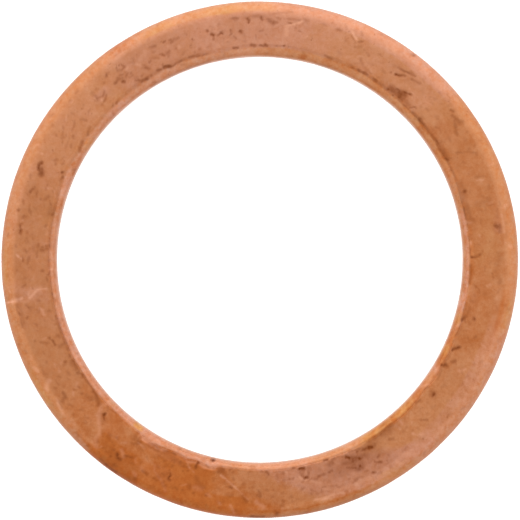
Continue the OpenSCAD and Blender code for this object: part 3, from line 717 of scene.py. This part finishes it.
# Where the cut edge runs: angle, then radius
SEAM = (
    (0, 15.4), (8, 15.42), (16, 15.38), (20, 15.44), (24, 15.52), (28, 15.5), (32, 15.43), (36, 15.5),
    (44, 15.51), (48, 15.46), (55, 15.51), (60, 15.58), (72, 15.54), (80, 15.56), (84, 15.61),
    (88, 15.55), (92, 15.58), (98, 15.52), (105, 15.54), (112, 15.57), (114.5, 15.52), (116.5, 15.57),
    (120, 15.55), (125, 15.53), (136, 15.52), (141, 15.45), (145, 15.54), (149, 15.41), (152, 15.5),
    (156, 15.57), (166, 15.42), (172, 15.47), (178, 15.47), (186, 15.41), (200, 15.44), (204, 15.42),
    (207, 15.46), (210, 15.41), (214, 15.42), (222, 15.42), (224, 15.35), (233, 15.39), (235, 15.43),
    (238, 15.56), (242, 15.53), (246, 15.42), (248, 15.44), (250, 15.54), (252.5, 15.42), (256.5, 15.62),
    (259.3, 15.42), (262, 15.38), (270, 15.42), (274, 15.47), (279, 15.44), (283, 15.39), (286, 15.42),
    (290, 15.39), (294, 15.44), (300, 15.42), (304, 15.46), (307, 15.38), (310, 15.45), (313, 15.49),
    (319, 15.43), (322, 15.37), (325, 15.5), (327, 15.52), (330, 15.39), (334, 15.45), (338, 15.39),
    (342, 15.48), (346, 15.38), (352, 15.4),
)

# Where the band's edge was pressed down to the lip: angle, then share of the drop
PRESSED = (
    (0, 0.4), (12, 0.5), (22, 0.6), (30, 0.75), (46, 0.6), (60, 0.6), (66, 0.88), (80, 0.88), (110, 0.8),
    (116, 0.88), (124, 0.88), (150, 0.9), (165, 0.6), (180, 0.3), (204, 0.25), (212, 0.2), (230, 0.2),
    (238, 0.55), (258, 0.55), (265, 0.15), (300, 0.1), (340, 0.2),
)

# Dents in the edges, as strokes
DENTS = (
    (0.25, 0.4, 53, 18.95), (1, 0.26, 256.95, 14.95), (0.3, 0.2, 113.6, 18.95),
)

# Soft edge of a mark, at its least and for each millimetre of its width, how far that edge is ragged,
# and the soft edge of a film inwards and outwards, in millimetres
MARK_EDGE = 0.08
MARK_EDGE_SHARE = 0.4
MARK_RAGGED = 0.07
FILM_EDGE = 0.2


def ramp(values, start, end):
    """0 up to the start, 1 from the end and a straight rise between. The end may be the smaller."""
    return np.clip((values - start) / (end - start), 0, 1)


class Surface:
    """The polar places of a piece's points, in degrees and millimetres."""

    def __init__(self, piece):
        self.piece = piece
        places = np.empty(3 * len(piece.data.vertices))
        piece.data.vertices.foreach_get("co", places)
        self.places = places.reshape(-1, 3)
        x, y, self.z = self.places.T / MM
        self.radius = np.hypot(x, y)
        self.angle = np.degrees(np.arctan2(y, x)) % 360
        # The upper side's share, which fades out on the walls
        self.top = ramp(self.z, 1.9, 2.4)
        self.ragged = self.noise(0.32, 0) + 0.6 * self.noise(0.17, 5)

    def noise(self, size, offset):
        """Smooth noise between about -1 and 1, in blotches of a size in millimetres."""
        return np.array([value_noise.noise(Vector(p)) for p in self.places / (size * MM) + offset])

    def degrees_from(self, angle):
        """Degrees from an angle, the shorter way round."""
        return (self.angle - angle + 180) % 360 - 180

    def round_the_ring(self, table):
        """A value at each point, from a table of angles and values that closes on itself."""
        angles, values = zip(*table)
        return np.interp(self.angle, angles, values, period=360)

    def strokes(self, marks):
        """How far each point is covered by soft strokes, each up to its own strength."""
        cover = np.zeros_like(self.z)
        for strength, width, *places in marks:
            edge = MARK_EDGE + MARK_EDGE_SHARE * width
            points = list(zip(places[::2], places[1::2]))
            for (angle, radius), (end, end_radius) in zip(points, points[1:] or points):
                run = math.radians(end - angle) * (radius + end_radius) / 2
                rise = end_radius - radius
                reach = math.hypot(run, rise) + width + edge
                along, out = np.radians(self.degrees_from(angle)) * radius, self.radius - radius
                near = np.flatnonzero((np.abs(along) < reach) & (np.abs(out) < reach))
                along, out = along[near], out[near]
                # A dot has no length, so a hair is added before the division
                part = np.clip((along * run + out * rise) / (run * run + rise * rise + 1e-9), 0, 1)
                far = np.hypot(along - part * run, out - part * rise) + MARK_RAGGED * self.ragged[near]
                fill = strength * ramp(far, (width + edge) / 2, (width - edge) / 2)
                cover[near] = np.maximum(cover[near], fill)
        return cover

    def films(self, rows):
        """How far each point is covered by broad films."""
        cover = np.zeros_like(self.z)
        for start, end, inner, outer, lean, soft, strength in rows:
            middle = (start + end) / 2 + lean * (self.radius - (inner + outer) / 2)
            off = np.abs(self.degrees_from(middle))
            sides = ramp(off, (end - start + soft) / 2, (end - start - soft) / 2)
            inwards = ramp(self.radius, inner - FILM_EDGE / 2, inner + FILM_EDGE / 2)
            outwards = ramp(self.radius, outer + FILM_EDGE / 2, outer - FILM_EDGE / 2)
            cover = cover + strength * sides * inwards * outwards
        return np.clip(cover, 0, 1)

    def group(self, name, weights):
        group = self.piece.vertex_groups.new(name=name)
        for index in np.flatnonzero(weights > 0.001):
            group.add([int(index)], float(weights[index]), "REPLACE")
        return group.name

    def displace(self, name, direction, distance, weights):
        """Adds a modifier that moves each point by a distance times its weight."""
        modifier = self.piece.modifiers.new(name, "DISPLACE")
        modifier.direction = direction
        modifier.mid_level = 0
        modifier.strength = distance
        modifier.vertex_group = self.group(name, weights)
        return modifier


# A speck drawn at random: least and greatest share of its field's strength, least and greatest width
# in millimetres, and how far its other end may lie, in degrees and millimetres
SPECK_SHARE = (0.4, 1.4)
SPECK_WIDTH = (0.08, 0.22)
SPECK_TURN = 0.9
SPECK_RISE = 0.15


def scatter(fields, seed):
    """Short strokes drawn at random in each field, the same ones each time."""
    draw = np.random.RandomState(seed).uniform
    marks = []
    for start, end, inner, outer, count, strength in fields:
        for _ in range(count):
            angle, radius = draw(start, end), draw(inner, outer)
            marks.append((strength * draw(*SPECK_SHARE), draw(*SPECK_WIDTH), angle, radius,
                          angle + draw(-SPECK_TURN, SPECK_TURN), radius + draw(-SPECK_RISE, SPECK_RISE)))
    return marks


# How the cut edge is pulled off its circle, in millimetres: how far outside the seam the middle of
# the pulled strip lies, how far from that middle the pull starts and is full, and the longest pull
SEAM_MIDDLE = 0.05
SEAM_REACH = (0.54, 0.18)
SEAM_PULL = 0.6


def press_out_of_true(surface, sizes):
    """Lets the cut edge wander, and gives the sheet its pits, dents and slight waves."""
    piece, top = surface.piece, surface.top
    seam = (BORE_R + sizes.lip_width) / MM
    middle = seam + SEAM_MIDDLE
    near_seam = ramp(np.abs(surface.radius - middle), *SEAM_REACH) * top
    shift = surface.round_the_ring(SEAM) - seam
    for name, way in (("seam_outwards", 1), ("seam_inwards", -1)):
        cast = piece.modifiers.new(name, "CAST")
        cast.cast_type = "CYLINDER"
        cast.use_radius_as_size = False
        cast.size = (middle + way * SEAM_PULL) * MM
        cast.factor = 1
        cast.vertex_group = surface.group(name, ramp(way * shift, 0, SEAM_PULL) * near_seam)

    # The cut edge is pressed down towards the lip, with a soft slope behind it
    above = ramp(surface.z, (THICKNESS - sizes.lip_drop) / MM, THICKNESS / MM)
    slope = ramp(surface.radius, middle + 0.3, middle + 0.05)
    share = surface.round_the_ring(PRESSED)
    surface.displace("pressed_edge", "Z", -sizes.lip_drop,
                     share * above * slope * slope * (3 - 2 * slope))

    # Pits lie under the darker strokes of dirt and painted shade, and scratches are shallow
    pits = ramp(surface.strokes(DIRT_AND_SHADE), 0.3, 0.8) + 0.3 * surface.strokes(BRIGHT)
    below = surface.strokes(scatter(UNDER_PITS, 7))
    pits = np.clip(pits * top + below * (1 - top), 0, 1)
    surface.displace("pits", "NORMAL", -sizes.pit_depth, pits)
    surface.displace("dents", "NORMAL", -2 * sizes.pit_depth, surface.strokes(DENTS) * top)

    # The band falls away a little before the outside rounding starts
    fall = ramp(surface.radius, 17.45, 18.05) * top
    surface.displace("shoulder", "Z", -sizes.shoulder_drop, fall * fall)

    # The underside lies flat, and the waves grow with the height
    waves = bpy.data.textures.new("sheet_waves", "CLOUDS")
    waves.noise_scale = 2.2 * MM
    waves.noise_depth = 2
    level = surface.displace("sheet_waves", "NORMAL", sizes.unevenness, ramp(surface.z, 0.3, 1.8))
    level.texture = waves
    level.texture_coords = "LOCAL"
    level.mid_level = 0.5
    for modifier in list(piece.modifiers):
        bpy.ops.object.modifier_apply(modifier=modifier.name)
    piece.vertex_groups.clear()


# The even tarnish and rosy film of the underside, and how much of a rubbed place tarnish hides
UNDER_TARNISH = 0.35
UNDER_ROSY = 0.2
TARNISH_HIDES = 0.35


def mark_surface(surface):
    """Writes the marks as attributes that the copper's material reads."""
    top, under = surface.top, 1 - surface.top
    below = surface.strokes(scatter(UNDER_SPECKS, 11))
    # The dark strokes and smoky films carry dirt and also painted shade: along the seam's crease, under
    # the lip's edge, over the band's left side and at the rounding's lower edge
    dirt = np.maximum(surface.strokes(DIRT_AND_SHADE), surface.strokes(scatter(SPECKS, 3))) + surface.films(SMOKY_AND_SHADE)
    rubbed = surface.strokes(BRIGHT) + surface.films(PALE)
    tarnish = surface.films(TARNISH)
    from_middle = np.abs(surface.radius - (BORE_R + RIM_R) / 2 / MM)
    marks = {
        "curved": ramp(from_middle, 1.2, 1.5),
        "calm": surface.films(CALM) * top,
        "dirt": dirt * top + below * under,
        "rubbed": rubbed * (1 - TARNISH_HIDES * tarnish) * top,
        "tarnish": tarnish * top + UNDER_TARNISH * under,
        "golden": surface.films(GOLDEN) * top,
        "rosy": surface.films(ROSY_AND_HIGHLIGHT) * top + UNDER_ROSY * under,
    }
    for name, values in marks.items():
        field = surface.piece.data.attributes.new(name, "FLOAT", "POINT")
        field.data.foreach_set("value", values.astype(np.float32))


class GASKET_OT_ring(bpy.types.Operator):
    """Model the folded copper ring and give it its finish"""
    bl_idname = "gasket.ring"
    bl_label = "Copper ring"

    def execute(self, context):
        sizes = context.scene.gasket_sizes
        piece = section_outline(sizes)
        turn_section(piece, sizes.steps)
        surface = Surface(piece)
        press_out_of_true(surface, sizes)
        mark_surface(surface)
        bpy.ops.object.shade_smooth_by_angle(angle=math.radians(40))
        piece.data.materials.append(copper_sheet(context.scene.gasket_finish))
        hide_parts(NODE)
        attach(piece, "root")
        return {"FINISHED"}


# Finish


def set_inputs(tree, node, inputs):
    """Gives inputs their values, by name or number: a socket to link from, or a plain value."""
    for name, value in inputs.items():
        if isinstance(value, bpy.types.NodeSocket):
            tree.links.new(value, node.inputs[name])
        else:
            node.inputs[name].default_value = value


def add_node(tree, kind, inputs=(), output=0, **settings):
    """Adds a node, with its inputs by name or in order, and gives one of its outputs."""
    node = tree.nodes.new(kind)
    for name, value in settings.items():
        setattr(node, name, value)
    set_inputs(tree, node, inputs if isinstance(inputs, dict) else dict(enumerate(inputs)))
    return node.outputs[output]


# Patterns of the sheet: the size of their blotches in millimetres, detail, roughness and seed.
# Real annealed grain is finer than the picture can show, so flakes and flecks are about 0.25 mm
PATTERNS = {
    "ragged": (0.4, 4, 0.7, 3),
    "drift": (3.5, 3, 0.6, 7),
    "grain": (1.6, 5, 0.85, 11),
    "blotches": (1, 4, 0.7, 23),
    "flakes": (0.24, 2, 0.6, 31),
    "hue": (0.4, 3, 0.75, 43),
    "flecks": (0.26, 2, 0.5, 19),
}

# Films, pinker where the sheet was rubbed and, over the top, as painted highlight, straw-coloured, then
# orange-brown
# where it was handled hot: the patterns that move their edges, by how much, and where each film starts
# and is full
FILMS = {
    "rosy": ((("blotches", 1.1), ("drift", 0.8)), 0, 1),
    "golden": ((("drift", -1),), 0.05, 1),
    "tarnish": ((("grain", -0.7), ("blotches", -0.6)), 0.15, 0.95),
}

# Small flakes with crisp edges: the pattern, the values at which an edge starts and ends, its strength
FLAKES = (("blotches", 0.46, 0.54, 0.05), ("ragged", 0.44, 0.56, 0.05), ("flakes", 0.42, 0.58, 0.11))

# What the grain and the flakes come to on average, and how far grain and tint change each of red,
# green and blue: darker means redder as well
MEAN_SHADE = 0.605
SHADE_WEIGHTS = (0.48, 0.8, 1.12)
HUE_WEIGHTS = (0, 0.75, 1.7)


def copper_sheet(finish):
    """Annealed copper sheet, rolled and pressed: a soft metal shine under a thin dull film."""
    material = bpy.data.materials.new("annealed_copper_sheet")
    material.use_nodes = True
    tree = material.node_tree
    add = partial(add_node, tree)
    place = add("ShaderNodeTexCoord", output="Object")
    noise = {}
    for name, (size, detail, rough, seed) in PATTERNS.items():
        noise[name] = add("ShaderNodeTexNoise", {
            "Vector": place, "W": seed, "Scale": 1 / (size * MM), "Detail": detail,
            "Roughness": rough}, noise_dimensions="4D")
    mark = {name: add("ShaderNodeAttribute", output="Fac", attribute_name=name)
            for name in ("rosy", "golden", "tarnish", "calm", "curved", "rubbed", "dirt")}

    colour = finish.copper
    for name, (patterns, start, full) in FILMS.items():
        amount = mark[name]
        for pattern, weight in patterns:
            off_middle = add("ShaderNodeMath", (noise[pattern], 0.5), operation="SUBTRACT")
            amount = add("ShaderNodeMath", (off_middle, weight, amount), operation="MULTIPLY_ADD")
        share = add("ShaderNodeMapRange", {"Value": amount, "From Min": start, "From Max": full},
                    interpolation_type="SMOOTHSTEP")
        over = getattr(finish, name)
        colour = add("ShaderNodeMix", {0: share, 6: colour, 7: over}, 2, data_type="RGBA")

    # Grain of the pressed sheet, then a little tint, most on the rolls
    shade = add("ShaderNodeMath", (noise["grain"], MEAN_SHADE), operation="SUBTRACT")
    for pattern, start, end, strength in FLAKES:
        flake = add("ShaderNodeMapRange", {"Value": noise[pattern], "From Min": start, "From Max": end},
                    interpolation_type="SMOOTHSTEP")
        shade = add("ShaderNodeMath", (flake, strength, shade), operation="MULTIPLY_ADD")
    lively = add("ShaderNodeMath", (1, mark["calm"]), operation="SUBTRACT")
    shade = add("ShaderNodeMath", (shade, lively), operation="MULTIPLY")
    hue = add("ShaderNodeMath", (noise["hue"], 0.5), operation="SUBTRACT")
    rolled = add("ShaderNodeMath", (mark["curved"], 0.7, 0.3), operation="MULTIPLY_ADD")
    hue = add("ShaderNodeMath", (hue, rolled), operation="MULTIPLY")
    for amount, weights in ((shade, SHADE_WEIGHTS), (hue, HUE_WEIGHTS)):
        tint = add("ShaderNodeVectorMath", (amount, weights, (1, 1, 1)), operation="MULTIPLY_ADD")
        colour = add("ShaderNodeVectorMath", (colour, tint), operation="MULTIPLY")

    # Rubbed places and scratches
    patchy = add("ShaderNodeMath", (noise["ragged"], 0.4), operation="ADD")
    bare = add("ShaderNodeMath", (mark["rubbed"], patchy), operation="MULTIPLY")
    colour = add("ShaderNodeMix", {0: bare, 6: colour, 7: finish.bright}, 2, data_type="RGBA")

    # Dirt and painted shade with ragged edges, and fine flecks all over
    patchy = add("ShaderNodeMath", (noise["ragged"], 1.5, 0.27), operation="MULTIPLY_ADD")
    soot_and_shade = add("ShaderNodeMath", (mark["dirt"], patchy), operation="MULTIPLY")
    flecks = add("ShaderNodeMath", (noise["drift"], 0.25, noise["flecks"]), operation="MULTIPLY_ADD")
    flecks = add("ShaderNodeMapRange", {
        "Value": flecks, "From Min": 0.78, "From Max": 0.9, "To Max": 0.3},
        interpolation_type="SMOOTHSTEP")
    dirt_and_shade_share = add("ShaderNodeMath", (soot_and_shade, flecks), operation="MAXIMUM", use_clamp=True)
    colour = add("ShaderNodeMix", {0: dirt_and_shade_share, 6: colour, 7: finish.grime_and_shade}, 2, data_type="RGBA")

    dull = add("ShaderNodeMath", (noise["drift"], 0.2, finish.roughness - 0.1), operation="MULTIPLY_ADD")
    rough = add("ShaderNodeMath", (dirt_and_shade_share, 0.2, dull), operation="MULTIPLY_ADD")
    height = add("ShaderNodeMath", (noise["ragged"], 0.6, noise["grain"]), operation="MULTIPLY_ADD")
    relief = add("ShaderNodeBump", {"Height": height, "Distance": 0.02 * MM, "Strength": 1})
    set_inputs(tree, tree.nodes["Principled BSDF"], {
        "Base Color": colour, "Metallic": 1, "Roughness": rough, "Normal": relief})
    return material


# Studio

# Places in the tent, on a globe of radius 1: how far towards +Y the window starts, and at what height
# below the table the tent is darkest
WINDOW_FROM = 0.55
DARKEST_AT = -0.4


class GASKET_OT_stage(bpy.types.Operator):
    """Lay a white light table in a soft tent and point the camera straight down"""
    bl_idname = "gasket.stage"
    bl_label = "Studio"

    def execute(self, context):
        stage = context.scene.gasket_stage
        bpy.ops.object.select_all(action="DESELECT")
        bpy.ops.mesh.primitive_plane_add(size=2, location=(0, 0, 0))
        floor = context.object
        floor.name = "floor"
        # Opal acrylic, lit from below, so that no shadow greys it beside the ring
        opal = bpy.data.materials.new("opal_acrylic")
        opal.use_nodes = True
        set_inputs(opal.node_tree, opal.node_tree.nodes["Principled BSDF"], {
            "Base Color": linear("#F6F6F6"), "Roughness": 0.9, "Emission Color": (1, 1, 1, 1),
            "Emission Strength": stage.table_glow})
        floor.data.materials.append(opal)
        floor.visible_glossy = False
        self.light_tent(context, stage)
        context.scene.view_settings.view_transform = "Standard"

        lens = bpy.data.cameras.new("camera")
        lens.sensor_width = 36.0
        lens.lens = lens.sensor_width * stage.camera_distance / stage.view_width
        camera = bpy.data.objects.new("camera", lens)
        height = THICKNESS - context.scene.gasket_sizes.rim_round + stage.camera_distance
        camera.location = (*stage.camera_aside, height)
        context.scene.collection.objects.link(camera)
        context.scene.camera = camera
        return {"FINISHED"}

    def light_tent(self, context, stage):
        """White cloth all round, brightest towards +Y where the window is and darker round the lens."""
        world = bpy.data.worlds.new("light_tent")
        world.use_nodes = True
        tree = world.node_tree
        add = partial(add_node, tree)
        generated = add("ShaderNodeTexCoord", output="Generated")
        way = add("ShaderNodeSeparateXYZ", (generated,)).node.outputs
        cloth = add("ShaderNodeMapRange", {
            "Value": way["Z"], "From Min": 1, "From Max": math.cos(stage.opening),
            "To Min": stage.overhead, "To Max": stage.overhead + stage.walls})
        window = add("ShaderNodeMapRange", {
            "Value": way["Y"], "From Min": WINDOW_FROM, "From Max": 1, "To Max": stage.window_strip})
        cloth = add("ShaderNodeMath", (cloth, window), operation="ADD")
        cloth = add("ShaderNodeMath", (way["Y"], stage.window, cloth), operation="MULTIPLY_ADD")
        lower = add("ShaderNodeMapRange", {
            "Value": way["Z"], "From Min": 0, "From Max": DARKEST_AT, "To Min": 1,
            "To Max": 1 - stage.below})
        light = add("ShaderNodeMath", (cloth, lower), operation="MULTIPLY")
        set_inputs(tree, tree.nodes["Background"], {"Strength": light, "Color": (1, 1, 1, 1)})
        context.scene.world = world


class GASKET_PT_panel(bpy.types.Panel):
    bl_label = "Copper gasket"
    bl_space_type = "VIEW_3D"
    bl_region_type = "UI"
    bl_category = "Gasket"

    def draw(self, context):
        for group in ("gasket_sizes", "gasket_finish", "gasket_stage"):
            owner = getattr(context.scene, group)
            for name in owner.__annotations__:
                self.layout.prop(owner, name)
        self.layout.operator(GASKET_OT_ring.bl_idname)
        self.layout.operator(GASKET_OT_stage.bl_idname)


CLASSES = (RingSizes, CopperFinish, StageSettings, GASKET_OT_ring, GASKET_OT_stage, GASKET_PT_panel)


def register():
    for item in CLASSES:
        bpy.utils.register_class(item)
    bpy.types.Scene.gasket_sizes = PointerProperty(type=RingSizes)
    bpy.types.Scene.gasket_finish = PointerProperty(type=CopperFinish)
    bpy.types.Scene.gasket_stage = PointerProperty(type=StageSettings)


def unregister():
    del bpy.types.Scene.gasket_stage
    del bpy.types.Scene.gasket_finish
    del bpy.types.Scene.gasket_sizes
    for item in reversed(CLASSES):
        bpy.utils.unregister_class(item)


def main():
    register()
    bpy.ops.gasket.ring()
    bpy.ops.gasket.stage()


if __name__ == "__main__":
    main()
